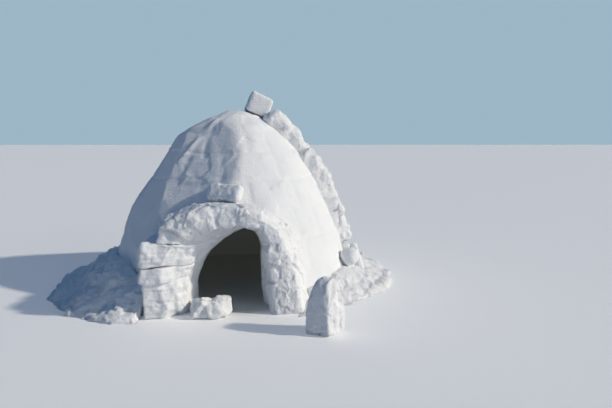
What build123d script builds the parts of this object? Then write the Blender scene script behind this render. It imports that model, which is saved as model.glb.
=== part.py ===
from build123d import *
import math
import os

os.makedirs("parts", exist_ok=True)

# The igloo stands on level ground at Z = 0. The dome turns about the Z axis, the doorway faces -Y.
# All lengths are in millimetres and all angles in degrees.

# Dome: the outer face follows a catenary turned about the vertical axis
dome_height = 2000
dome_radius = 1440          # outer face at the ground
dome_sides = 48             # flats around the outer face and the beds
wall = 240                  # thickness of the wall, square to its face
course_count = 7
key_reach = 310             # from the top of the dome to the edge of the key block, along the face
block_length = 580          # of a wall block, along the middle of its course
fewest_blocks = 6           # in the smallest course
unevenness = 0.12           # of the block lengths, as a share of a block
course_turn = [-90, -103, -97, -80, -93, -70, -110]   # where the joints of each course start

# Large flats shaved off the outer face: direction, distance from the top along the face, and depth
front_flat = (-118, 1080, 125)
side_flats = [(-172, 1150, 92), (-178, 370, 90), (-176, 1850, 55)]

# Small flats left by the knife all round, apart from under the rib
trim_count = 15
trim_step = 137.5           # from one small flat to the next, around the dome
trim_clear = 36             # kept free to each side of the rib, around the dome
trim_first = 480            # from the top to the first of them, along the face
trim_last = 2250
trim_depth = 24

# Fits
joint = 0.4                 # between neighbouring blocks of the dome and of the porch
seat_gap = 0.3              # between the dome's outer face and what is laid against it

# Doorway through the wall, and the porch's mouth that splays out from it: lopsided arches in front view
neck_outline = [(-325, -1), (-330, 330), (-255, 505), (-140, 622), (0, 722), (135, 790), (228, 762), (296, 625),
                (300, 340), (300, -1)]
mouth_outline = [(-525, -1), (-535, 345), (-470, 610), (-335, 785), (-140, 888), (95, 925), (290, 862), (425, 690),
                 (490, 350), (515, -1)]
mouth_depth = 330           # from the porch's front to the neck
porch_reach = 10            # the porch's front stands this far beyond the foot of the dome

# Porch blocks, front view: heights of the beds, outer edges, and how far each stands in front of porch_front
left_beds = [0, 345, 480, 700, 850]
left_edges = [(-800, -820), (-838, -835), (-842, -800), (-672, -655)]
left_proud = [-15, 12, 0, -22]
right_beds = [0, 290, 540, 735]
right_edges = [(650, 600), (606, 560), (556, 478)]
right_proud = [0, -12, -4]
arch_centre = (0, 640)
arch_outline = [(-655, 850), (-440, 958), (-190, 1018), (70, 1018), (290, 945), (478, 735)]
arch_proud = [-8, 6, -5, 4, -10]
arch_swell = 12             # rise of an arch block's outer face above its chord
arch_flare = [0, 0, 0, 0, 0.35, 1]          # how far its points spread with the right side, as shares
porch_depth = 750           # the blocks run back into the dome's outline, which trims them
right_flare = 300           # the right side spreads this far towards the dome

# Brow slab on the front flat above the porch: length around the dome, height along its face, thickness
brow_size = (350, 170, 90)
brow_turn = -94
brow_rise = 1205            # from the ground up to its middle, along the dome's face

# Threshold block in the left half of the mouth
threshold_right = 10
threshold_front = 70        # in front of the porch
threshold_back = 200        # into the mouth
threshold_height = 185

# Door block standing in front of the porch: height, width, depth and shift to the right of each section
door_block_sections = [(0, 315, 215, 0), (310, 285, 190, 8), (440, 215, 150, 22), (500, 110, 80, 30)]
door_block_x = 775
door_block_front = 515      # in front of the porch
door_block_turn = -30

# Rib of slabs laid against the right side of the dome, from crown to foot
rib_turn = 4                # direction of the rib, from +X towards the back
rib_length = 520            # of a slab, around the dome
rib_start = 455             # from the dome's top down to the first slab, along the face
rib_foot = 400              # from the ground up to the last slab, along the face
rib_parts = [245, 285, 270, 190, 225, 190, 175, 190]    # each slab's share of the way between
rib_thicknesses = [150, 150, 180, 200, 175, 185, 170, 200]
rib_gap = 8                 # between two slabs, where they meet the dome
rib_sway = 3                # how far the slabs step to and fro around the dome
block_chamfer = 24          # worn edges of laid and loose blocks

# Tilted block on the crown
top_block_size = (330, 275, 240)
top_block_turn = 2
top_block_reach = 305

# Slabs and lump at the foot of the rib
foot_slab_size = (300, 330, 90)
foot_slab_turn = -9
foot_slab_rise = 217        # from the ground up to its middle, along the dome's face
foot_slab_shift = (70, -25) # of the second slab, around the dome and along its face
foot_lump_size = 190
foot_lump_chamfer = 52
foot_lump_turn = -25
foot_lump_height = 300

# Banked snow round the foot: direction, width beyond the foot of the dome and height against it
bank_sections = {
    "bank_left": [(-112, 280, 270), (-127, 410, 350), (-143, 520, 405), (-163, 535, 430), (-184, 520, 420)],
    "bank_back_left": [(-184, 520, 420), (-206, 510, 405), (-228, 570, 390), (-248, 640, 395)],
    "bank_back_right": [(-248, 640, 395), (-270, 670, 400), (-292, 650, 380), (-314, 570, 350)],
    "bank_right": [(-314, 570, 350), (-338, 535, 310), (-362, 530, 280), (-384, 430, 240), (-406, 310, 215),
                   (-430, 240, 190)],
}
bank_toe = 35               # thickness of the bank's edge
bank_slope = [(0.3, 0.62), (0.65, 0.24)]    # points of its slope, as shares of its width and of its height
bank_root = 330             # how far a bank's section runs into the dome's outline, which trims it
bank_depth = 60             # how far a section runs below the ground, which trims it too


def catenary_constant():
    """The catenary's constant, found by halving, for the dome's height and radius."""
    low = dome_radius / 20
    high = dome_radius * 20
    for _ in range(60):
        middle = (low + high) / 2
        if middle * (math.cosh(dome_radius / middle) - 1) > dome_height:
            low = middle
        else:
            high = middle
    return low


curve = catenary_constant()
ground_reach = math.sqrt((dome_height + curve) ** 2 - curve ** 2)
beds = [ground_reach + (key_reach - ground_reach) * number / course_count for number in range(course_count + 1)]


def face_point(reach, out=0.0):
    """Radius and height of the dome's face at a distance along it from the top, moved out square to the face."""
    steep = math.hypot(curve, reach)
    radius = curve * math.asinh(reach / curve) + out * reach / steep
    height = dome_height + curve - steep + out * curve / steep
    return (radius, height)


def reach_at(height):
    """Distance along the dome's face from the top, at a height above the ground."""
    return math.sqrt((dome_height + curve - height) ** 2 - curve ** 2)


def lean(reach):
    """Angle of the dome's outward direction above the level, at a distance along the face from the top."""
    return math.degrees(math.atan2(curve, reach))


def corners(radius, turns):
    """Corners on one level, one in each direction."""
    return [(radius * math.cos(math.radians(turn)), radius * math.sin(math.radians(turn))) for turn in turns]


def flat_sided(first, second, triangles=False):
    """Solid between two rings with as many corners, its sides flat: four-sided, or else triangles."""
    faces = [Face(Wire.make_polygon(first)), Face(Wire.make_polygon(second))]
    for number in range(len(first)):
        a, b, c, d = first[number - 1], first[number], second[number], second[number - 1]
        for side in [(a, b, c), (a, c, d)] if triangles else [(a, b, c, d)]:
            faces.append(Face(Wire.make_polygon(side)))
    return Solid(Shell(faces))


def frustum(low, high, turns):
    """Solid with flat sides between two level rings of corners, each given as its radius and height."""
    return flat_sided(*[[Vector(x, y, height) for x, y in corners(radius, turns)] for radius, height in (low, high)])


def face_plane(turn, reach, out):
    """Plane level with the dome's face, moved out, with its x axis around the dome and its z axis outwards."""
    radius, height = face_point(reach, out)
    side = math.radians(turn)
    rise = math.radians(lean(reach))
    outwards = Vector(math.cos(side) * math.cos(rise), math.sin(side) * math.cos(rise), math.sin(rise))
    level = Vector(-math.sin(side), math.cos(side), 0)
    return Plane(origin=(radius * math.cos(side), radius * math.sin(side), height), x_dir=level, z_dir=outwards)


side_turns = [360 * number / dome_sides for number in range(dome_sides)]
key_middle = key_reach / 2
face_stops = [key_middle] + beds[::-1]
face_corners = [Vector(x, y, face_point(stop)[1])
                for stop in face_stops for x, y in corners(face_point(stop)[0], side_turns)]


def seat_plane(turn, reach):
    """Plane on which a slab lies against the many-sided dome, a seat gap off the corners that it would touch."""
    plane = face_plane(turn, reach, 0)
    touch = max((corner - plane.origin).dot(plane.z_dir) for corner in face_corners)
    return plane.offset(touch + seat_gap)


def radial_plane(turn):
    """Upright plane through the dome's axis, with its x axis outwards and its y axis up."""
    side = math.radians(turn)
    return Plane(origin=(0, 0, 0), x_dir=(math.cos(side), math.sin(side), 0),
                 z_dir=(math.sin(side), -math.cos(side), 0))


trims = [(rib_turn + trim_clear + trim_step * number % (360 - 2 * trim_clear),
          trim_first + (trim_last - trim_first) * number / (trim_count - 1), trim_depth) for number in range(trim_count)]


def shave(out=0.0):
    """Take the flats off the outer face, each moved out by some room."""
    for turn, reach, depth in [front_flat, *side_flats, *trims]:
        split(bisect_by=face_plane(turn, reach, out - depth), keep=Keep.BOTTOM)


# The dome's outline as one solid, a little larger, to trim what is laid against it
sunk = ground_reach + wall
with BuildPart() as dome_outline:
    for upper, lower in zip(face_stops, face_stops[1:] + [sunk]):
        add(frustum(face_point(lower, seat_gap), face_point(upper, seat_gap), side_turns))
    shave(seat_gap)


# The passage: a mouth that narrows to the neck, then straight through the wall
porch_front = dome_radius + porch_reach
porch_back = porch_front - porch_depth
neck_y = mouth_depth - porch_front
passage_end_y = (wall - dome_radius) / 2
beyond_front = 60           # the mouth's slope runs on past the porch's front
grown = (porch_front + beyond_front + neck_y) / (porch_front + neck_y)
mouth = [(x + (mouth_x - x) * grown, y + (mouth_y - y) * grown)
         for (x, y), (mouth_x, mouth_y) in zip(neck_outline, mouth_outline)]
with BuildPart() as passage:
    add(flat_sided([Vector(x, -porch_front - beyond_front, y) for x, y in mouth],
                   [Vector(x, neck_y, y) for x, y in neck_outline], triangles=True))
    with BuildSketch(Plane.XZ.offset(-neck_y)):
        with BuildLine():
            Polyline(*neck_outline, close=True)
        make_face()
    extrude(amount=neck_y - passage_end_y)


def joint_turns(course):
    """Directions of the upright joints of a course, a little uneven as hand-cut blocks are."""
    radius = face_point((beds[course] + beds[course + 1]) / 2)[0]
    count = max(fewest_blocks, round(2 * math.pi * radius / block_length))
    return [course_turn[course] + (number + unevenness * math.sin(2.4 * number + course)) * 360 / count
            for number in range(count)]


# Courses of blocks: a ring with inclined beds, a flat inner face on each block and thin upright joints
deep = 1.35 * wall          # the ring is made this thick, and the room then cut out of it
passage_top = max(height for _, height in mouth_outline)
for course in range(course_count):
    low = beds[course] - (joint / 2 if course > 0 else 0)
    high = beds[course + 1] + joint / 2
    inner_low = face_point(low, -wall)
    inner_high = face_point(high, -wall)
    fall = (inner_high[0] - inner_low[0], inner_high[1] - inner_low[1])
    room_low = (inner_low[0] - fall[0] / 2, inner_low[1] - fall[1] / 2)
    room_high = (inner_high[0] + fall[0] / 2, inner_high[1] + fall[1] / 2)
    turns = joint_turns(course)
    with BuildPart() as ring:
        add(frustum(face_point(low), face_point(high), side_turns))
        if course > 0:
            add(frustum(face_point(low, -deep), face_point(low), side_turns))
        add(frustum(face_point(high, -deep), face_point(high), side_turns), mode=Mode.SUBTRACT)
        add(frustum(room_low, room_high, turns), mode=Mode.SUBTRACT)
        shave()
        with Locations(*[Location((0, 0, 0), (0, 0, turn)) for turn in turns]):
            Box(2 * dome_radius, joint, 2 * dome_height, align=(Align.MIN, Align.CENTER, Align.CENTER),
                mode=Mode.SUBTRACT)
        if inner_low[1] < passage_top:
            add(passage.part, mode=Mode.SUBTRACT)
    ring.part.label = f"course_{course + 1}"
    export_step(ring.part, f"parts/{ring.part.label}.step")

# Key block: a tapered plug that closes the top
key_edge = key_reach - joint / 2
with BuildPart() as key_block:
    add(frustum(face_point(key_edge, -wall), face_point(key_edge), side_turns))
    add(frustum(face_point(key_edge), face_point(key_middle), side_turns))
    shave()
key_block.part.label = "key_block"
export_step(key_block.part, "parts/key_block.step")


def porch_face(front, outline, swell, flare):
    """Outline of a porch block on an upright plane, less half a joint all round.

    The flare says how far each point spreads to the right towards the dome, as a share of the right side's."""
    slant = right_flare * (porch_front - front) / porch_depth
    points = [(x + slant * share, height) for (x, height), share in zip(outline, flare)]
    with BuildSketch(Plane.XZ.offset(front)) as face:
        with BuildLine():
            if swell:
                ThreePointArc(points[1], (swell[0] + slant * (flare[1] + flare[2]) / 2, swell[1]), points[2])
                Polyline(*points[2:], *points[:2])
            else:
                Polyline(*points, close=True)
        make_face()
        offset(amount=-joint / 2, kind=Kind.INTERSECTION)
    return face.sketch


def write_porch_block(name, outline, proud, swell=None, flare=(0, 0, 0, 0, 0)):
    """Porch block: a front outline run back to the dome, trimmed by the passage and by the dome."""
    front = porch_face(porch_front + proud, outline, swell, flare)
    with BuildPart() as block:
        if any(flare):
            loft([front, porch_face(porch_back, outline, swell, flare)], ruled=True)
        else:
            extrude(front, amount=porch_front + proud - porch_back, dir=(0, 1, 0))
        add(passage.part, mode=Mode.SUBTRACT)
        add(dome_outline.part, mode=Mode.SUBTRACT)
    block.part.label = name
    export_step(block.part, f"parts/{name}.step")


# Left jamb: four stacked slabs, the last one a wedge under the arch's first block
springer = arch_outline[0]
wedge_x = springer[0] * (left_beds[-2] - arch_centre[1]) / (springer[1] - arch_centre[1])
for number, (low, high) in enumerate(zip(left_beds, left_beds[1:])):
    lower_edge, upper_edge = left_edges[number]
    outline = [(arch_centre[0], low), (lower_edge, low), (upper_edge, high)]
    if high == left_beds[-1]:
        outline = [(wedge_x, low), (lower_edge, low), springer]
    elif high == left_beds[-2]:
        outline += [(wedge_x, high), arch_centre]
    else:
        outline += [(arch_centre[0], high)]
    write_porch_block(f"porch_left_slab_{number + 1}", outline, left_proud[number])

# Right jamb: three blocks, the last one cut to the slope of the arch's last block
for number, (low, high) in enumerate(zip(right_beds, right_beds[1:])):
    lower_edge, upper_edge = right_edges[number]
    inner_high = arch_centre if high == right_beds[-1] else (arch_centre[0], high)
    outline = [(arch_centre[0], low), (lower_edge, low), (upper_edge, high), inner_high]
    write_porch_block(f"porch_right_block_{number + 1}", outline, right_proud[number],
                      flare=(0, 1, 1, 0))

# Arch: blocks that fan out from one centre
for number, (start, end) in enumerate(zip(arch_outline, arch_outline[1:])):
    middle = ((start[0] + end[0]) / 2, (start[1] + end[1]) / 2)
    out = math.hypot(middle[0] - arch_centre[0], middle[1] - arch_centre[1])
    swell = (middle[0] + arch_swell * (middle[0] - arch_centre[0]) / out,
             middle[1] + arch_swell * (middle[1] - arch_centre[1]) / out)
    write_porch_block(f"porch_arch_block_{number + 1}", [arch_centre, start, end], arch_proud[number], swell,
                      flare=(0, *arch_flare[number:number + 2]))


def laid_block(plane, size, room=0.0, worn=block_chamfer):
    """Block with worn edges that lies on a plane, grown by some room on every side but its underside."""
    with BuildPart() as block:
        with BuildSketch(plane):
            Rectangle(size[0] + 2 * room, size[1] + 2 * room)
        extrude(amount=size[2] + room)
        chamfer(block.edges(), length=worn)
    return block.part


def write_laid_block(name, block):
    """Label a laid block and write it."""
    block.label = name
    export_step(block, f"parts/{name}.step")


# Brow slab, resting on the front flat over the arch
flat_turn, flat_reach, flat_depth = front_flat
brow_plane = face_plane(flat_turn, flat_reach, seat_gap - flat_depth)
brow_seat = brow_plane.to_local_coords(face_plane(brow_turn, ground_reach - brow_rise, 0).origin)
brow_plane = Plane(origin=brow_plane.from_local_coords((brow_seat.X, brow_seat.Y, 0)), x_dir=brow_plane.x_dir,
                   z_dir=brow_plane.z_dir)
write_laid_block("brow_block", laid_block(brow_plane, brow_size))

# Rib: slabs of different thickness, one below the other
rib_reach = rib_start
rib_run = ground_reach - rib_foot - rib_start
for number, (part, thickness) in enumerate(zip(rib_parts, rib_thicknesses)):
    height = rib_run * part / sum(rib_parts)
    turn = rib_turn + rib_sway * math.sin(2.1 * number)
    place = seat_plane(turn, rib_reach + height / 2)
    write_laid_block(f"rib_block_{number + 1}", laid_block(place, (rib_length, height - rib_gap, thickness)))
    rib_reach += height

# Tilted block on the crown, at the head of the rib
write_laid_block("top_block", laid_block(seat_plane(top_block_turn, top_block_reach), top_block_size))

# Leaning slabs at the foot of the rib, one against the dome and one against the first
foot_plane = seat_plane(foot_slab_turn, ground_reach - foot_slab_rise)
foot_planes = [foot_plane, Plane(foot_plane.location * Location((*foot_slab_shift, foot_slab_size[2] + seat_gap)))]
with BuildPart() as above_ground:
    Box(6 * dome_radius, 6 * dome_radius, 2 * dome_height, align=(Align.CENTER, Align.CENTER, Align.MIN))
for number, plane in enumerate(foot_planes):
    with BuildPart() as foot_slab:
        add(laid_block(plane, foot_slab_size))
        add(above_ground.part, mode=Mode.INTERSECT)
    write_laid_block(f"foot_slab_{number + 1}", foot_slab.part)

# Round lump beside them, a cube worn down to a ball, resting on the dome's face
lump_plane = seat_plane(foot_lump_turn, reach_at(foot_lump_height))
lump_size = (foot_lump_size, foot_lump_size, foot_lump_size)
write_laid_block("foot_lump", laid_block(lump_plane, lump_size, worn=foot_lump_chamfer))

# Threshold block, its back corner against the splayed side of the mouth
threshold_back_y = -porch_front + threshold_back
splay_share = (neck_y - threshold_back_y) / (neck_y + porch_front)
neck_left, mouth_left = neck_outline[0][0], mouth_outline[0][0]
threshold_left = neck_left + (mouth_left - neck_left) * splay_share + seat_gap
with BuildPart() as threshold_block:
    with BuildSketch(Plane.XY):
        with Locations((threshold_left, threshold_back_y)):
            Rectangle(threshold_right - threshold_left, threshold_front + threshold_back,
                      align=(Align.MIN, Align.MAX))
    extrude(amount=threshold_height)
    chamfer(threshold_block.faces().sort_by(Axis.Z)[-1].edges(), length=2 * block_chamfer)
write_laid_block("threshold_block", threshold_block.part)

# Door block: a slab that narrows to a rounded head
door_plane = Plane(origin=(door_block_x, -porch_front - door_block_front, 0),
                   x_dir=Vector(1, 0, 0).rotate(Axis.Z, door_block_turn))
with BuildPart() as door_block:
    for height, width, depth, shift in door_block_sections:
        with BuildSketch(door_plane.offset(height)):
            with Locations((shift, 0)):
                Rectangle(width, depth)
    loft(ruled=True)
    chamfer(door_block.faces().sort_by(Axis.Z)[-1].edges(), length=block_chamfer)
write_laid_block("door_block", door_block.part)


def bank_section(turn, width, height):
    """Section of the banked snow on an upright plane through the dome's axis."""
    foot = face_point(reach_at(height))[0]
    toe = dome_radius + width
    with BuildSketch(radial_plane(turn)) as section:
        with BuildLine():
            slope = [(foot + share * (toe - foot), bank_toe + fall * (height - bank_toe))
                     for share, fall in bank_slope]
            Polyline((toe, bank_toe), (toe, -bank_depth), (foot - bank_root, -bank_depth),
                     (foot - bank_root, height), (foot, height), *slope, close=True)
        make_face()
    return section.sketch


# Banked snow: sections joined round the foot, trimmed by the ground, the dome, the porch and the foot of the rib
porch_left = min(min(edges) for edges in left_edges) - seat_gap
porch_right = max(max(edges) for edges in right_edges) + 2 * seat_gap
right_side = Plane(origin=(porch_right, -porch_front, 0), x_dir=(right_flare, porch_depth, 0),
                   z_dir=(porch_depth, -right_flare, 0))
for name, sections in bank_sections.items():
    with BuildPart() as bank:
        for section in sections:
            add(bank_section(*section))
        loft(ruled=True)
        split(bisect_by=Plane.XY, keep=Keep.TOP)
        add(dome_outline.part, mode=Mode.SUBTRACT)
        if name == "bank_left":
            split(bisect_by=Plane.YZ.offset(porch_left), keep=Keep.BOTTOM)
        if name == "bank_right":
            split(bisect_by=right_side, keep=Keep.TOP)
            for plane in foot_planes:
                add(laid_block(plane, foot_slab_size, seat_gap), mode=Mode.SUBTRACT)
            add(laid_block(lump_plane, lump_size, seat_gap, foot_lump_chamfer), mode=Mode.SUBTRACT)
    bank.part.label = name
    export_step(bank.part, f"parts/{name}.step")
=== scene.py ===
import itertools
import math

import bmesh
import bpy
import numpy as np
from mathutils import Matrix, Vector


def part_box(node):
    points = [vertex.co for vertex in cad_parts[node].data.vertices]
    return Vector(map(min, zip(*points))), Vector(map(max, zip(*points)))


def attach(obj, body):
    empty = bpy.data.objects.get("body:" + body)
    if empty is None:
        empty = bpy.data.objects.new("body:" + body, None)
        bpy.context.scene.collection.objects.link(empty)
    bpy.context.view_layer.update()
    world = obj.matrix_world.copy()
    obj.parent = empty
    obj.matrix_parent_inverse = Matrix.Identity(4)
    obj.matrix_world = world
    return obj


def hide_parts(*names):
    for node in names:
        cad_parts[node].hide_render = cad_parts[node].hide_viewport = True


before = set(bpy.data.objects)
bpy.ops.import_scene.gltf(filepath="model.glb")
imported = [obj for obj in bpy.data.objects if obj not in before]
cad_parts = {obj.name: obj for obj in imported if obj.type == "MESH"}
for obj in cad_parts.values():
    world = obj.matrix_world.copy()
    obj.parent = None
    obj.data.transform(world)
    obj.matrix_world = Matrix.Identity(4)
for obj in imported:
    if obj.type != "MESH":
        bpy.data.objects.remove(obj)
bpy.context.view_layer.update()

# The wall of the dome: seven rings of snow blocks and a key block, sawn from wind-packed snow and laid
# with their beds leaning inwards. The seams were rubbed full of loose snow and the outside was patted and
# shaved smooth by hand, so the blocks show only as low swells with faint creases that come and go.
dome_block_cell = 0.020     # length of a face on a single block
dome_cell = 0.0205          # length of a face on the joined wall
dome_growth = 0.006         # how far a block's faces are pushed out to close the seams
dome_rubbing = 0.005        # more or less of that, where seams are rubbed full or left open
dome_shift = 0.005          # how far at most a block stands proud or back
shift_in_ring = 7.3         # how far the wave of shifts runs on with each block of a ring, in radians
shift_in_wall = 2.1         # and with each block of the wall
dome_lumps = [(0.40, 0.005), (0.16, 0.0025), (0.065, 0.0015)]   # size and height of the swells
dome_facets = [(0.30, 0.0035), (0.12, 0.002)]                   # size and height of the knife's flats
weld_reach = 0.00002        # corners of a CAD mesh nearer than this are one


def loose_parts(node):
    """The separate solids of a CAD node, each as its corners and faces."""
    mesh = bmesh.new()
    mesh.from_mesh(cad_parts[node].data)
    bmesh.ops.remove_doubles(mesh, verts=mesh.verts, dist=weld_reach)
    seen = set()
    parts = []
    for first in mesh.verts:
        if first in seen:
            continue
        seen.add(first)
        reached = [first]
        for vert in reached:
            for edge in vert.link_edges:
                other = edge.other_vert(vert)
                if other not in seen:
                    seen.add(other)
                    reached.append(other)
        place = {vert: number for number, vert in enumerate(reached)}
        faces = {face for vert in reached for face in vert.link_faces}
        faces = sorted(faces, key=lambda face: face.index)
        parts.append(([tuple(vert.co) for vert in reached],
                      [[place[vert] for vert in face.verts] for face in faces]))
    mesh.free()
    parts.sort(key=lambda part: tuple(np.round(np.mean(part[0], axis=0), 4)))
    return parts


def remeshed(corners, faces, cell):
    """Even mesh of small faces over a solid, as arrays of points and of four-cornered faces."""
    mesh = bpy.data.meshes.new("rough")
    mesh.from_pydata(corners, [], faces)
    rough = bpy.data.objects.new("rough", mesh)
    bpy.context.scene.collection.objects.link(rough)
    modifier = rough.modifiers.new("cells", "REMESH")
    modifier.mode = "VOXEL"
    modifier.voxel_size = cell
    evaluated = rough.evaluated_get(bpy.context.evaluated_depsgraph_get())
    fine = bpy.data.meshes.new_from_object(evaluated)
    points = np.empty(3 * len(fine.vertices))
    fine.vertices.foreach_get("co", points)
    quads = np.empty(4 * len(fine.polygons), dtype=int)
    fine.polygons.foreach_get("vertices", quads)
    bpy.data.objects.remove(rough)
    bpy.data.meshes.remove(mesh)
    bpy.data.meshes.remove(fine)
    return points.reshape(-1, 3), quads.reshape(-1, 4)


smoothing_pull = 0.6        # how far a point moves towards its neighbours in a round


def smoothed(points, quads, rounds):
    """Points moved towards the middle of their neighbours, round after round."""
    ends = np.concatenate([quads, np.roll(quads, 1, axis=1)])
    heads, tails = ends[:len(quads)].ravel(), ends[len(quads):].ravel()
    count = np.bincount(heads, minlength=len(points)) + np.bincount(tails, minlength=len(points))
    for _ in range(rounds):
        total = np.stack([np.bincount(heads, points[tails, axis], len(points))
                          + np.bincount(tails, points[heads, axis], len(points))
                          for axis in range(3)], axis=1)
        points = (1 - smoothing_pull) * points + smoothing_pull * total / count[:, None]
    return points


def outwards(points, quads):
    """Directions square to the surface at its points."""
    square = np.cross(points[quads[:, 2]] - points[quads[:, 0]], points[quads[:, 3]] - points[quads[:, 1]])
    total = np.stack([np.bincount(quads.ravel(), np.repeat(square[:, axis], 4), len(points))
                      for axis in range(3)], axis=1)
    return total / np.maximum(np.linalg.norm(total, axis=1), 1e-12)[:, None]


lump_repeat = 29            # the lumps repeat after this many
lump_shift = 11.3           # how far the lumps of one seed lie from those of the next, in lumps
lump_gain = 1.4             # brings their height to about 1


def lumps(points, size, seed):
    """Smooth noise from about -1 to 1, with lumps of a size in metres."""
    lattice = np.random.default_rng(seed).uniform(-1, 1, (lump_repeat, lump_repeat, lump_repeat))
    place = points / size + lump_shift * seed
    low = np.floor(place).astype(int)
    share = place - low
    share = share * share * (3 - 2 * share)
    total = np.zeros(len(points))
    for step in itertools.product((0, 1), repeat=3):
        weight = np.prod(np.where(np.array(step) == 1, share, 1 - share), axis=1)
        total += weight * lattice[tuple(((low + step) % lump_repeat).T)]
    return lump_gain * total


facet_repeat = 23           # the facets repeat after this many
facet_shift = 7.7           # how far the facets of one seed lie from those of the next, in facets
facet_edge = 0.15           # how near a facet's middle comes to the edge of its cell, as a share of it
facet_tilt = 0.8            # the usual slope of a facet


def facets(points, size, seed):
    """Flat patches of a size in metres, each with its own height and tilt, as a knife leaves them."""
    random = np.random.default_rng(seed)
    cells = (facet_repeat, facet_repeat, facet_repeat)
    middles = random.uniform(facet_edge, 1 - facet_edge, (*cells, 3))
    tilts = random.normal(0, facet_tilt, (*cells, 3))
    heights = random.uniform(-1, 1, cells)
    place = points / size + facet_shift * seed
    low = np.floor(place).astype(int)
    nearest = np.full(len(points), np.inf)
    total = np.zeros(len(points))
    for step in itertools.product((-1, 0, 1), repeat=3):
        cell = tuple(((low + step) % facet_repeat).T)
        away = place - low - step - middles[cell]
        distance = np.sum(away ** 2, axis=1)
        closer = distance < nearest
        nearest[closer] = distance[closer]
        total[closer] = (heights[cell] + np.sum(away * tilts[cell], axis=1))[closer]
    return total


rubbing_size = 0.45         # size of the places where seams are rubbed full or left open


def worn_block(corners, faces, cell, smoothing, growth, rubbing=0.0, seed=1):
    """A solid with its edges worn round, grown by an amount that can vary from place to place."""
    points, quads = remeshed(corners, faces, cell)
    points = smoothed(points, quads, smoothing)
    grown = growth + rubbing * lumps(points, rubbing_size, seed)
    return points + outwards(points, quads) * grown[:, None], quads


def joined(shapes):
    """Several shapes as one list of points and one of faces."""
    starts = np.cumsum([0] + [len(points) for points, quads in shapes[:-1]])
    return (np.concatenate([points for points, quads in shapes]),
            np.concatenate([quads + start for start, (points, quads) in zip(starts, shapes)]))


def without_hollows(points, quads):
    """The shape without the closed hollows inside it, whose faces look inwards."""
    heads, tails = np.concatenate([quads, np.roll(quads, 1, axis=1)]).reshape(2, -1)
    label = np.arange(len(points))
    settled = False
    while not settled:
        lowest = label.copy()
        np.minimum.at(lowest, heads, label[tails])
        np.minimum.at(lowest, tails, label[heads])
        lowest = lowest[lowest]
        settled = np.array_equal(lowest, label)
        label = lowest
    corners = points[quads]
    square = np.cross(corners[:, 2] - corners[:, 0], corners[:, 3] - corners[:, 1])
    volume = np.bincount(label[quads[:, 0]], np.sum(corners.mean(axis=1) * square, axis=1), len(points))
    kept, quads = np.unique(quads[volume[label[quads[:, 0]]] > 0], return_inverse=True)
    return points[kept], quads.reshape(-1, 4)


film = 0.003                # least height of a toe's upper face above the ground
fine_size = 0.1             # lumps under this size come and go in patches
fine_patch_size = 0.3       # size of those patches
fine_usual = 0.6            # the usual strength of the fine lumps
fine_change = 0.7           # how far it changes from patch to patch
fine_limits = (0.1, 1.3)    # its least and its greatest
fine_seed = 9               # keeps the patches apart from the lumps


def grounded(points, away):
    """Points raised to the ground, and those of upper faces to a film above it."""
    raised = points.copy()
    raised[:, 2] = np.maximum(points[:, 2], np.where(away[:, 2] > 0, film, 0.0))
    return raised


def snow_mass(blocks, cell, smoothing, relief, cuts=(), seed=1):
    """Worn blocks that overlap, turned into one mass of snow with lumps and flat cuts of several sizes."""
    points, quads = joined(blocks)
    points, quads = without_hollows(*remeshed(points.tolist(), quads.tolist(), cell))
    points = smoothed(points, quads, smoothing)
    fine = np.clip(fine_usual + fine_change * lumps(points, fine_patch_size, seed + fine_seed), *fine_limits)
    height = sum(rise * lumps(points, size, seed + step) * (fine if size < fine_size else 1)
                 for step, (size, rise) in enumerate(relief))
    height = height + sum(rise * facets(points, size, seed + step) for step, (size, rise) in enumerate(cuts))
    away = outwards(points, quads)
    return grounded(points + away * height[:, None], away), quads


def fade(values, whole, none):
    """Shares of 1 up to the value called whole, from where they fall evenly to 0 at the one called none."""
    return np.clip((none - values) / (none - whole), 0, 1)


def chipped(points, direction, depth):
    """Points beyond a flat cut moved back to it: a corner broken off a block, square to a direction."""
    direction = np.array(direction) / np.linalg.norm(direction)
    reach = points @ direction
    return points - np.maximum(reach - reach.max() + depth, 0)[:, None] * direction


def snow_piece(name, shape, material, nodes, inside=None):
    """One object from a shape, in place of its CAD nodes, with a mark on its inner faces where given."""
    points, quads = shape
    mesh = bpy.data.meshes.new(name)
    mesh.from_pydata(points, [], quads)
    mesh.shade_smooth()
    if inside is not None:
        mesh.attributes.new("inside", "FLOAT", "POINT").data.foreach_set("value", inside.astype(np.float32))
    mesh.materials.append(material)
    piece = bpy.data.objects.new(name, mesh)
    bpy.context.scene.collection.objects.link(piece)
    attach(piece, "root")
    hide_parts(*nodes)


def node_group(name, inputs, outputs):
    """Empty shader node group with named number inputs and named outputs."""
    group = bpy.data.node_groups.new(name, "ShaderNodeTree")
    for label, value in inputs:
        group.interface.new_socket(label, in_out="INPUT", socket_type="NodeSocketFloat").default_value = value
    for label, kind in outputs:
        group.interface.new_socket(label, in_out="OUTPUT", socket_type=kind)
    return group, group.nodes.new("NodeGroupInput"), group.nodes.new("NodeGroupOutput")


def feed(tree, value, socket):
    """A socket fed by another socket, or set to a number or colour."""
    if isinstance(value, bpy.types.NodeSocket):
        tree.links.new(value, socket)
    else:
        socket.default_value = value


def math_node(tree, operation, first, second, clamp=False):
    """Math node whose inputs are sockets or numbers."""
    node = tree.nodes.new("ShaderNodeMath")
    node.operation = operation
    node.use_clamp = clamp
    feed(tree, first, node.inputs[0])
    feed(tree, second, node.inputs[1])
    return node.outputs[0]


def above(tree, value, start, contrast):
    """How far a value passes a start, times a contrast, kept between 0 and 1."""
    return math_node(tree, "MULTIPLY", math_node(tree, "SUBTRACT", value, start), contrast, clamp=True)


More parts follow.
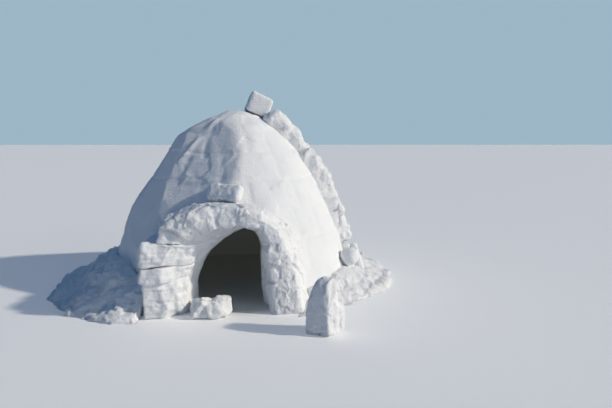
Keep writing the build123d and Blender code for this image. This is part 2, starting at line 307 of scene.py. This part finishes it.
def noise_node(tree, place, scale, detail=2.0, roughness=0.5):
    """Noise texture at a place, its scale a socket or a number."""
    node = tree.nodes.new("ShaderNodeTexNoise")
    tree.links.new(place, node.inputs["Vector"])
    feed(tree, scale, node.inputs["Scale"])
    node.inputs["Detail"].default_value = detail
    node.inputs["Roughness"].default_value = roughness
    return node.outputs["Fac"]


def color_mix(tree, first, second, share):
    """Mix of two colours, each a socket or a colour, by a share that comes from a socket."""
    node = tree.nodes.new("ShaderNodeMix")
    node.data_type = "RGBA"
    feed(tree, first, node.inputs["A"])
    feed(tree, second, node.inputs["B"])
    tree.links.new(share, node.inputs["Factor"])
    return node.outputs["Result"]


# Snow grain, used on every piece: crumbs a few millimetres across on a rougher crust
crumb_scale = 240.0
crust_scale = 46.0
grain_group, grain_in, grain_out = node_group(
    "snow_grain", [("Crumb Height", 0.0016), ("Crust Height", 0.005)], [("Height", "NodeSocketFloat")])
grain_place = grain_group.nodes.new("ShaderNodeTexCoord").outputs["Object"]
crumbs = noise_node(grain_group, grain_place, crumb_scale, detail=3.0, roughness=0.7)
crust = noise_node(grain_group, grain_place, crust_scale, detail=4.0, roughness=0.62)
crumb_rise = math_node(grain_group, "MULTIPLY", crumbs, grain_in.outputs["Crumb Height"])
crust_rise = math_node(grain_group, "MULTIPLY", crust, grain_in.outputs["Crust Height"])
grain_group.links.new(math_node(grain_group, "ADD", crumb_rise, crust_rise), grain_out.inputs["Height"])

# Snow colour, used on every piece: clean white drifting into faintly grey-blue patches
clean_white = (0.945, 0.95, 0.95, 1)
grey_blue = (0.83, 0.855, 0.88, 1)
patch_start = 0.38          # height of the noise at which a patch begins
patch_contrast = 2.6
tint_group, tint_in, tint_out = node_group("snow_tint", [("Patch Scale", 3.0), ("Grey", 0.5)],
                                           [("Color", "NodeSocketColor")])
tint_place = tint_group.nodes.new("ShaderNodeTexCoord").outputs["Object"]
patches = noise_node(tint_group, tint_place, tint_in.outputs["Patch Scale"], detail=5.0, roughness=0.6)
patch_share = above(tint_group, patches, patch_start, patch_contrast)
grey_share = math_node(tint_group, "MULTIPLY", patch_share, tint_in.outputs["Grey"])
tint_group.links.new(color_mix(tint_group, clean_white, grey_blue, grey_share), tint_out.inputs["Color"])

# Layers, used where a block's sawn side shows the wind's layers: thin level lines, some of them icy
warp_scale = 5.0            # how closely the lines wander up and down
ice_start = 0.52            # height of the noise at which a line turns icy
ice_contrast = 5.0
ice_color = (0.60, 0.66, 0.72, 1)
layer_group, layer_in, layer_out = node_group(
    "snow_layers", [("Layers Per Metre", 30.0), ("Warp", 0.02), ("Layer Height", 0.004)],
    [("Height", "NodeSocketFloat"), ("Ice", "NodeSocketFloat")])
layer_place = layer_group.nodes.new("ShaderNodeTexCoord").outputs["Object"]
split_place = layer_group.nodes.new("ShaderNodeSeparateXYZ")
layer_group.links.new(layer_place, split_place.inputs[0])
wander = noise_node(layer_group, layer_place, warp_scale)
warp = math_node(layer_group, "MULTIPLY", wander, layer_in.outputs["Warp"])
level = math_node(layer_group, "ADD", split_place.outputs["Z"], warp)
band_place = layer_group.nodes.new("ShaderNodeCombineXYZ")
layer_group.links.new(math_node(layer_group, "MULTIPLY", level, layer_in.outputs["Layers Per Metre"]),
                      band_place.inputs["Z"])
bands = noise_node(layer_group, band_place.outputs[0], 1.0, detail=3.0, roughness=0.65)
layer_group.links.new(math_node(layer_group, "MULTIPLY", bands, layer_in.outputs["Layer Height"]),
                      layer_out.inputs["Height"])
layer_group.links.new(above(layer_group, bands, ice_start, ice_contrast), layer_out.inputs["Ice"])


def grouped(tree, group, **values):
    """A node group placed in a material, with its own values."""
    node = tree.nodes.new("ShaderNodeGroup")
    node.node_tree = group
    for label, value in values.items():
        node.inputs[label.replace("_", " ").title()].default_value = value
    return node


def snow_material(name, grey, patch_scale, crumb_height, crust_height, layers=None):
    """Snow with its grain, its patches and, where given, its layers: height and strength of the icy lines."""
    material = bpy.data.materials.new(name)
    material.use_nodes = True
    tree = material.node_tree
    surface = tree.nodes["Principled BSDF"]
    surface.inputs["Roughness"].default_value = 0.78
    surface.inputs["IOR"].default_value = 1.31
    surface.inputs["Subsurface Weight"].default_value = 0.12
    surface.inputs["Subsurface Radius"].default_value = (0.6, 0.8, 1.0)
    surface.inputs["Subsurface Scale"].default_value = 0.02
    grain = grouped(tree, grain_group, crumb_height=crumb_height, crust_height=crust_height)
    tint = grouped(tree, tint_group, patch_scale=patch_scale, grey=grey)
    color, height = tint.outputs["Color"], grain.outputs["Height"]
    if layers:
        lines = grouped(tree, layer_group, layer_height=layers[0])
        height = math_node(tree, "ADD", height, lines.outputs["Height"])
        icy_share = math_node(tree, "MULTIPLY", lines.outputs["Ice"], layers[1])
        color = color_mix(tree, color, ice_color, icy_share)
    bump = tree.nodes.new("ShaderNodeBump")
    bump.inputs["Distance"].default_value = 1.0
    bump.inputs["Strength"].default_value = 0.8
    tree.links.new(height, bump.inputs["Height"])
    tree.links.new(bump.outputs["Normal"], surface.inputs["Normal"])
    tree.links.new(color, surface.inputs["Base Color"])
    return material


wall_snow = snow_material("patted_wall_snow", grey=0.45, patch_scale=3.2, crumb_height=0.0018,
                          crust_height=0.008)

# The inner faces of the wall are painted a dull grey, as painted shade for the dim room, and a faint painted
# glow on them stands in for the little daylight that seeps in through the snow
painted_inner_shade_color = (0.36, 0.37, 0.38, 1)
no_light = (0, 0, 0, 1)
painted_inner_glow = (0.017, 0.018, 0.016, 1)
wall_tree = wall_snow.node_tree
wall_surface = wall_tree.nodes["Principled BSDF"]
mark_node = wall_tree.nodes.new("ShaderNodeAttribute")
mark_node.attribute_name = "inside"
inner_mark = mark_node.outputs["Fac"]
outer_color = wall_surface.inputs["Base Color"].links[0].from_socket
# Painted shade: the inner faces take the dark grey colour
wall_tree.links.new(color_mix(wall_tree, outer_color, painted_inner_shade_color, inner_mark),
                    wall_surface.inputs["Base Color"])
# Painted glow: the inner faces give off a faint light of their own
wall_tree.links.new(color_mix(wall_tree, no_light, painted_inner_glow, inner_mark),
                    wall_surface.inputs["Emission Color"])
wall_surface.inputs["Emission Strength"].default_value = 1.0

# The blocks of all the rings, each a little proud or back, are joined into one wall
dome_nodes = [f"course_{number}" for number in range(1, 8)] + ["key_block"]
blocks = []
for node in dome_nodes:
    for number, (corners, faces) in enumerate(loose_parts(node)):
        points, quads = worn_block(corners, faces, cell=dome_block_cell, smoothing=5, growth=dome_growth,
                                   rubbing=dome_rubbing)
        away = points.mean(axis=0) / np.linalg.norm(points.mean(axis=0))
        wave = math.sin(shift_in_ring * number + shift_in_wall * len(blocks))
        blocks.append((points + away * dome_shift * wave, quads))
points, quads = snow_mass(blocks, cell=dome_cell, smoothing=2, relief=dome_lumps, cuts=dome_facets)

# The left side bellies out, stands back at the ground, and has two large flats cut with the knife
left_reach = 1.2            # the belly and the foot come in fully at this distance left of the middle
left_bulge = 0.035          # how far the belly stands out
left_bulge_height = 0.95    # height of its middle
left_bulge_size = 0.25      # how far it runs above and below that
left_foot = 0.03            # how far the left side stands back at the ground
left_foot_height = 0.7      # where it no longer does
left_flats = [((-0.66, -0.52, 0.54), 0.060), ((-0.59, -0.67, 0.45), 0.040)]     # direction and depth
lefthand = np.clip(-points[:, 0] / left_reach, 0, 1) ** 2
belly = np.exp(-((points[:, 2] - left_bulge_height) / left_bulge_size) ** 2)
points[:, 0] -= lefthand * (left_bulge * belly - left_foot * fade(points[:, 2], 0, left_foot_height))
for direction, depth in left_flats:
    points = chipped(points, direction, depth)

# The worn foot of the wall is let down to the ground
foot_drop = 0.022
foot_height = 0.1           # above this the wall keeps its height
points[:, 2] -= foot_drop * fade(points[:, 2], 0, foot_height)
away = outwards(points, quads)
points = grounded(points, away)

# Faces turned away from the middle of the room are the outside of the wall, and those turned to it the
# inside, which carries the painted shade and the painted glow
room_middle = (0.0, 0.0, 0.6)
outside_rise = 3.0          # how fast a face comes to count as outside as it turns away
inside_rise = 2.5           # how fast it comes to count as inside as it turns back
sight = (points - room_middle) / np.linalg.norm(points - room_middle, axis=1)[:, None]
facing = np.sum(sight * away, axis=1)
outside = np.clip(outside_rise * facing, 0, 1)
inside = np.clip(-inside_rise * facing, 0, 1)

# The level beds between the lower rings show here and there as shallow lines
bed_depth = 0.008
bed_width = 0.013
bed_wave_size = 0.35        # length and height of the waves in a line
bed_wave_height = 0.012
bed_patch_size = 0.4        # size of the places where a line shows or is rubbed out
bed_usual = 0.5             # its usual strength
bed_change = 1.3            # how far that changes from place to place
bed_seed = 20               # keeps those places apart from the waves
for number in range(1, 6):
    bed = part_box(f"course_{number}")[1][2] + bed_wave_height * lumps(points, bed_wave_size, seed=number)
    shows = np.clip(bed_usual + bed_change * lumps(points, bed_patch_size, seed=number + bed_seed), 0, 1)
    line = bed_depth * outside * shows * np.exp(-((points[:, 2] - bed) / bed_width) ** 2)
    points -= away * line[:, None]

# A sharp ledge that the knife left on the upper left side, broken off here and there
ledge_ends = ((-0.144, -0.412, 1.863), (-0.557, -0.543, 1.404))
ledge_height = 0.030
ledge_width = 0.026
ledge_usual = 0.7           # the usual share of the ledge that is left
ledge_patch_size = 0.12     # size of the places where more or less of it is
ledge = np.subtract(*ledge_ends)
along = np.clip((ledge_ends[0] - points) @ ledge / (ledge @ ledge), 0, 1)
reach = np.linalg.norm(points - ledge_ends[0] + along[:, None] * ledge, axis=1)
whole = np.clip(ledge_usual + lumps(points, ledge_patch_size, seed=6), 0, 1)
crest = ledge_height * outside * np.exp(-(reach / ledge_width) ** 2) * whole
points += away * crest[:, None]
snow_piece("dome_wall", (points, quads), wall_snow, dome_nodes, inside=inside)

# The porch's left jamb: four sawn slabs stacked flat, with the wind's layers showing on their ends. They
# stand a little proud or back of each other, and the cracks between them were left open.
slab_cell = 0.0095
slab_lumps = [(0.21, 0.014), (0.085, 0.010), (0.045, 0.006), (0.028, 0.003)]
slab_layer_height = 0.005   # how far the harder layers of a slab stand proud
slab_layer_size = 0.024     # how thick they are
slab_layer_shape = 0.12     # their thickness as a share of their length
slab_wave_size = 0.3        # length and height of their waves
slab_wave_height = 0.012
layered_snow = snow_material("layered_slab_snow", grey=0.8, patch_scale=6.0, crumb_height=0.0014,
                             crust_height=0.009, layers=(0.006, 0.5))

# The porch's mouth: crawling in has worn its left edge back, snow is packed into its right side, and more of
# it hangs down over the front of the arch
mouth_middle = (-0.02, 0.35)    # middle of the mouth's round top, across and up
mouth_size = (0.51, 0.55)       # half its width, and its rise above that middle
mouth_y = min(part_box(f"porch_left_slab_{number}")[0][1] for number in range(1, 5))    # its front
side_start = 0.2                # where its sides begin, as a share of half its width
side_rise = 3                   # how fast points beyond that come to count as its sides
wear_width = 0.095              # how far the left edge is worn back
wear_change = 0.35              # the share by which that changes from place to place
wear_patch_size = 0.15          # size of those places
wear_depth = 0.16               # how deep into the passage the wear reaches
wear_heights = (0.76, 0.98)     # it fades out between these
fill_width = 0.13               # how far the packed snow brings the right edge inwards
fill_reach = 0.14               # how far beyond the edge the jamb's front comes with it
fill_depth = 0.33               # how deep into the passage the snow reaches
fill_heights = (0.56, 0.86)     # it fades out between these
lip_drop = 0.07                 # how far snow hangs down over the front of the arch
lip_reach = 0.16                # how far from the arch's edge it is drawn down
lip_depth = 0.3                 # how deep into the passage it reaches
lip_heights = (0.62, 0.77)      # it comes in between these


def worn_mouth(points):
    """Points moved for the mouth's worn left edge, its packed right side and the lip of its arch."""
    across = (points[:, 0] - mouth_middle[0]) / mouth_size[0]
    up = np.maximum(points[:, 2] - mouth_middle[1], 0) / mouth_size[1]
    beyond = mouth_size[0] * (np.hypot(across, up) - 1)
    depth = points[:, 1] - mouth_y
    left = np.clip(side_rise * (-across - side_start), 0, 1) * fade(points[:, 2], *wear_heights)
    right = np.clip(side_rise * (across - side_start), 0, 1) * fade(points[:, 2], *fill_heights)
    worn = wear_width * (1 + wear_change * lumps(points, wear_patch_size, seed=8))
    wear = left * np.clip(worn - np.maximum(beyond, 0), 0, 1)
    lip = lip_drop * fade(np.abs(beyond), 0, lip_reach) * fade(depth, 0, lip_depth)
    moved = points.copy()
    moved[:, 0] -= fill_width * right * fade(beyond, 0, fill_reach) * fade(depth, 0, fill_depth)
    moved[:, 1] += wear * fade(depth, 0, wear_depth)
    moved[:, 2] -= lip * (1 - fade(points[:, 2], *lip_heights))
    return moved


for number in range(1, 5):
    node = f"porch_left_slab_{number}"
    points, quads = worn_block(*loose_parts(node)[0], cell=slab_cell, smoothing=5, growth=0.005)
    slab = (worn_mouth(points), quads)
    points, quads = snow_mass([slab], cell=slab_cell, smoothing=3, relief=slab_lumps, seed=number)
    away = outwards(points, quads)
    wavy_level = points[:, 2] + slab_wave_height * lumps(points, slab_wave_size, seed=5)
    place = np.stack([points[:, 0] * slab_layer_shape, points[:, 1] * slab_layer_shape, wavy_level], axis=1)
    proud = slab_layer_height * lumps(place, slab_layer_size, seed=number) * (1 - np.abs(away[:, 2]))
    points = points + away * proud[:, None]
    points[:, 2] = np.maximum(points[:, 2], 0.0)
    snow_piece(f"left_jamb_{number}", (points, quads), layered_snow, [node])

# The rest of the porch: an arch of five wedges that lean on each other and a right jamb of three blocks. All
# their seams were rubbed full of snow, so they read as one thick rounded mass that runs into the dome.
porch_block_cell = 0.012
porch_lumps = [(0.28, 0.010), (0.12, 0.005), (0.055, 0.003), (0.03, 0.0025)]
porch_facets = [(0.20, 0.010), (0.09, 0.006), (0.045, 0.003)]
porch_snow = snow_material("patted_porch_snow", grey=0.5, patch_scale=4.5, crumb_height=0.002,
                           crust_height=0.011)
porch_nodes = [f"porch_arch_block_{number}" for number in range(1, 6)]
porch_nodes += [f"porch_right_block_{number}" for number in range(1, 4)]
blocks = []
for node in porch_nodes:
    points, quads = worn_block(*loose_parts(node)[0], cell=porch_block_cell, smoothing=3, growth=0.010)
    blocks.append((worn_mouth(points), quads))
porch = snow_mass(blocks, cell=slab_cell, smoothing=4, relief=porch_lumps, cuts=porch_facets)
snow_piece("porch_arch", porch, porch_snow, porch_nodes)

# The brow slab: an offcut of a wall block, stuck flat to the dome above the arch, where it froze fast. It
# has sunk a little to the right and down.
loose_cell = 0.009
loose_lumps = [(0.20, 0.013), (0.09, 0.008), (0.042, 0.0055), (0.024, 0.0025)]
loose_snow = snow_material("sawn_block_snow", grey=0.4, patch_scale=5.0, crumb_height=0.002,
                           crust_height=0.013)
brow_shift = (0.025, 0.0, -0.025)
points, quads = worn_block(*loose_parts("brow_block")[0], cell=loose_cell, smoothing=8, growth=0.010)
brow = snow_mass([(points + brow_shift, quads)], cell=loose_cell, smoothing=4, relief=loose_lumps)
snow_piece("brow_slab", brow, loose_snow, ["brow_block"])

# The threshold block: a spare block of sawn snow laid in the left half of the mouth. Knees have worn all its
# edges round and broken two of them off.
threshold_cuts = [((0.45, -0.8, 0.4), 0.07), ((-0.7, -0.2, 0.7), 0.05)]     # direction and depth
threshold_lumps = [(0.20, 0.022), (0.09, 0.014), (0.042, 0.007), (0.024, 0.003)]
points, quads = worn_block(*loose_parts("threshold_block")[0], cell=loose_cell, smoothing=20, growth=-0.022)
for direction, depth in threshold_cuts:
    points = chipped(points, direction, depth)
threshold = snow_mass([(points, quads)], cell=loose_cell, smoothing=4, relief=threshold_lumps, seed=3)
snow_piece("threshold", threshold, loose_snow, ["threshold_block"])

# The door block: a tall block of sawn snow with a rounded head, cut to fill the doorway. It stands loose on
# the ground outside, to be pulled in from within, and its front right edge is broken off.
door_cut = ((0.59, -0.81, 0.06), 0.085)     # direction and depth
door_facets = [(0.16, 0.008), (0.07, 0.004)]
points, quads = worn_block(*loose_parts("door_block")[0], cell=loose_cell, smoothing=12, growth=-0.003)
door = snow_mass([(chipped(points, *door_cut), quads)], cell=loose_cell, smoothing=3, relief=loose_lumps,
                 cuts=door_facets, seed=4)
snow_piece("door_stop", door, loose_snow, ["door_block"])

# The rib: slabs of uneven thickness leant one above the other against the dome's right side. Snow was
# stuffed between them until they froze into one knobbly ridge.
rib_block_cell = 0.016
rib_cell = 0.0115
rib_growth = 0.038          # how far a slab is fattened by the snow stuffed round it
rib_rubbing = 0.012         # more or less of that from place to place
rib_lumps = [(0.22, 0.018), (0.10, 0.010), (0.05, 0.007), (0.028, 0.003)]
rib_facets = [(0.17, 0.014), (0.08, 0.006)]
rib_sink = (0.042, 0.080)   # how far the rib is frozen into the dome's face at its head and at its foot
rib_slant = (1, 1, 0.6)     # the way it is sunk, a little more level than to the middle of the ground
rib_nodes = [f"rib_block_{number}" for number in range(1, 9)]
blocks = []
for number, node in enumerate(rib_nodes):
    points, quads = worn_block(*loose_parts(node)[0], cell=rib_block_cell, smoothing=3, growth=rib_growth,
                               rubbing=rib_rubbing, seed=number)
    inwards = -points.mean(axis=0) * rib_slant
    sink = np.interp(number, (0, len(rib_nodes) - 1), rib_sink)
    blocks.append((points + inwards / np.linalg.norm(inwards) * sink, quads))
rib = snow_mass(blocks, cell=rib_cell, smoothing=4, relief=rib_lumps, cuts=rib_facets, seed=2)
snow_piece("rib", rib, loose_snow, rib_nodes)

# The top block: one more sawn block, tipped against the head of the rib and frozen there. No snow was rubbed
# on it, so its sawn edges are still fairly sharp.
top_lumps = [(0.2, 0.007), (0.08, 0.006), (0.035, 0.003)]
top = worn_block(*loose_parts("top_block")[0], cell=loose_cell, smoothing=4, growth=0.002)
crown = snow_mass([top], cell=loose_cell, smoothing=2, relief=top_lumps)
snow_piece("crown_block", crown, loose_snow, ["top_block"])

# The foot of the rib: two offcut slabs and a round lump of snow. They were leant against the wall where the
# rib ends, and froze to it.
for number in range(1, 3):
    slab = worn_block(*loose_parts(f"foot_slab_{number}")[0], cell=loose_cell, smoothing=7, growth=0.006)
    leaning = snow_mass([slab], cell=loose_cell, smoothing=3, relief=loose_lumps, seed=number)
    snow_piece(f"leaning_slab_{number}", leaning, loose_snow, [f"foot_slab_{number}"])
ball = worn_block(*loose_parts("foot_lump")[0], cell=loose_cell, smoothing=12, growth=0.008)
lump = snow_mass([ball], cell=loose_cell, smoothing=4, relief=loose_lumps, seed=6)
snow_piece("round_lump", lump, loose_snow, ["foot_lump"])

# The banked snow: loose snow shovelled up round the foot of the wall against the wind, in thrown lumps that
# are large and rough near the top and crumble away to nothing at the toe.
bank_cell = 0.0185
bank_lumps = [(0.55, 0.030), (0.24, 0.024), (0.11, 0.015), (0.055, 0.009)]
bank_facets = [(0.16, 0.014), (0.08, 0.007)]
bank_snow = snow_material("thrown_bank_snow", grey=0.5, patch_scale=3.5, crumb_height=0.002,
                          crust_height=0.015)
bank_edge = 0.032           # how far the toe sinks, so that it feathers out
bank_edge_change = 0.9      # the share by which that changes from place to place
bank_edge_patch_size = 0.16     # size of those places
bank_edge_height = 0.25     # above this the bank keeps its height
bank_growth = {"bank_left": 0.022, "bank_back_left": 0.022, "bank_back_right": 0.022,
               "bank_right": 0.008}     # how far each is grown, the first three enough to meet
for node, growth in bank_growth.items():
    points, quads = worn_block(*loose_parts(node)[0], cell=bank_cell, smoothing=6, growth=growth)
    sunk = bank_edge * (1 + bank_edge_change * lumps(points, bank_edge_patch_size, seed=3))
    points[:, 2] -= sunk * fade(points[:, 2], 0, bank_edge_height)
    heap = snow_mass([(points, quads)], cell=bank_cell, smoothing=3, relief=bank_lumps, cuts=bank_facets)
    snow_piece(f"{node}_heap", heap, bank_snow, [node])

# The floor: a wide plain pale sheet that takes the shadow. What it throws back at the object and how pale it
# looks are set apart, and inside the room it is painted darker, as painted shade for the dim room.
floor_size = 600.0
floor_bounce = (0.90, 0.90, 0.89, 1)
floor_seen = (0.97, 0.97, 0.97, 1)
painted_shade_indoor_floor = (0.75, 0.75, 0.72, 1)
floor_lift = 0.12           # the floor looks this much paler still, and lights nothing
floor_lift_color = (1, 0.98, 0.94, 1)
room_reach = 1.5            # the darker floor, painted shade, ends this far from the middle of the room
room_edge = 5.0             # how sharply it ends
floor_corners = [(x * floor_size, y * floor_size, 0) for x, y in [(-1, -1), (1, -1), (1, 1), (-1, 1)]]
floor_mesh = bpy.data.meshes.new("floor")
floor_mesh.from_pydata(floor_corners, [], [(0, 1, 2, 3)])
floor = bpy.data.objects.new("floor", floor_mesh)
bpy.context.scene.collection.objects.link(floor)
floor_material = bpy.data.materials.new("plain_floor")
floor_material.use_nodes = True
floor_tree = floor_material.node_tree
floor_surface = floor_tree.nodes["Principled BSDF"]
floor_surface.inputs["Roughness"].default_value = 0.9
camera_ray = floor_tree.nodes.new("ShaderNodeLightPath").outputs["Is Camera Ray"]
floor_place = floor_tree.nodes.new("ShaderNodeTexCoord").outputs["Object"]
floor_distance = floor_tree.nodes.new("ShaderNodeVectorMath")
floor_distance.operation = "LENGTH"
floor_tree.links.new(floor_place, floor_distance.inputs[0])
indoors = above(floor_tree, room_reach, floor_distance.outputs["Value"], room_edge)
outdoors = math_node(floor_tree, "SUBTRACT", 1.0, indoors)
outdoor_color = color_mix(floor_tree, floor_bounce, floor_seen, camera_ray)
# Painted shade: inside the room the floor takes the darker colour
floor_tree.links.new(color_mix(floor_tree, outdoor_color, painted_shade_indoor_floor, indoors),
                     floor_surface.inputs["Base Color"])
seen_lift = math_node(floor_tree, "MULTIPLY", camera_ray, floor_lift)
floor_tree.links.new(math_node(floor_tree, "MULTIPLY", seen_lift, outdoors),
                     floor_surface.inputs["Emission Strength"])
floor_surface.inputs["Emission Color"].default_value = floor_lift_color
floor_mesh.materials.append(floor_material)

# The light: a cool even fill from all round, seen as a pale blue sky, and a low warm key lamp on the right.
# A weak and very soft lamp, low on the right in front, stands for what wide pale ground throws back.
sky_fill = (0.056, 0.115, 0.218, 1)
sky_seen = (0.34, 0.47, 0.57, 1)
world = bpy.data.worlds.new("surround")
bpy.context.scene.world = world
world.use_nodes = True
sky = world.node_tree
fill = sky.nodes["Background"]
fill.inputs["Color"].default_value = sky_fill
seen = sky.nodes.new("ShaderNodeBackground")
seen.inputs["Color"].default_value = sky_seen
path = sky.nodes.new("ShaderNodeLightPath")
choice = sky.nodes.new("ShaderNodeMixShader")
sky.links.new(path.outputs["Is Camera Ray"], choice.inputs[0])
sky.links.new(fill.outputs[0], choice.inputs[1])
sky.links.new(seen.outputs[0], choice.inputs[2])
sky.links.new(choice.outputs[0], sky.nodes["World Output"].inputs["Surface"])


def sun_lamp(name, energy, color, width, turn, rise):
    """A far lamp of a width in degrees, that shines from a turn, from +X towards the back, and a rise."""
    lamp = bpy.data.lights.new(name, "SUN")
    lamp.energy = energy
    lamp.color = color
    lamp.angle = math.radians(width)
    lamp_object = bpy.data.objects.new(name, lamp)
    lamp_object.rotation_euler = (math.radians(90 - rise), 0, math.radians(turn + 90))
    bpy.context.scene.collection.objects.link(lamp_object)


sun_lamp("key_lamp", energy=2.3, color=(1.0, 0.92, 0.79), width=2.5, turn=-18, rise=29)
sun_lamp("soft_lamp", energy=0.5, color=(1.0, 0.97, 0.93), width=45, turn=-42, rise=6)

# The camera: at standing eye level, six metres in front of the dome's axis. It is turned a little to the
# right and down, so that the dome stands left of the middle of the frame.
camera_place = (0.0, -6.0, 1.6)
camera_pitch = 6.899        # down from the level
camera_yaw = 8.581          # to the right
camera = bpy.data.cameras.new("camera")
camera.lens = 29.41
camera.sensor_width = 36
camera_object = bpy.data.objects.new("camera", camera)
camera_object.location = camera_place
camera_object.rotation_euler = (math.radians(90 - camera_pitch), 0, math.radians(-camera_yaw))
bpy.context.scene.collection.objects.link(camera_object)
bpy.context.scene.camera = camera_object
bpy.context.scene.view_settings.view_transform = "Standard"
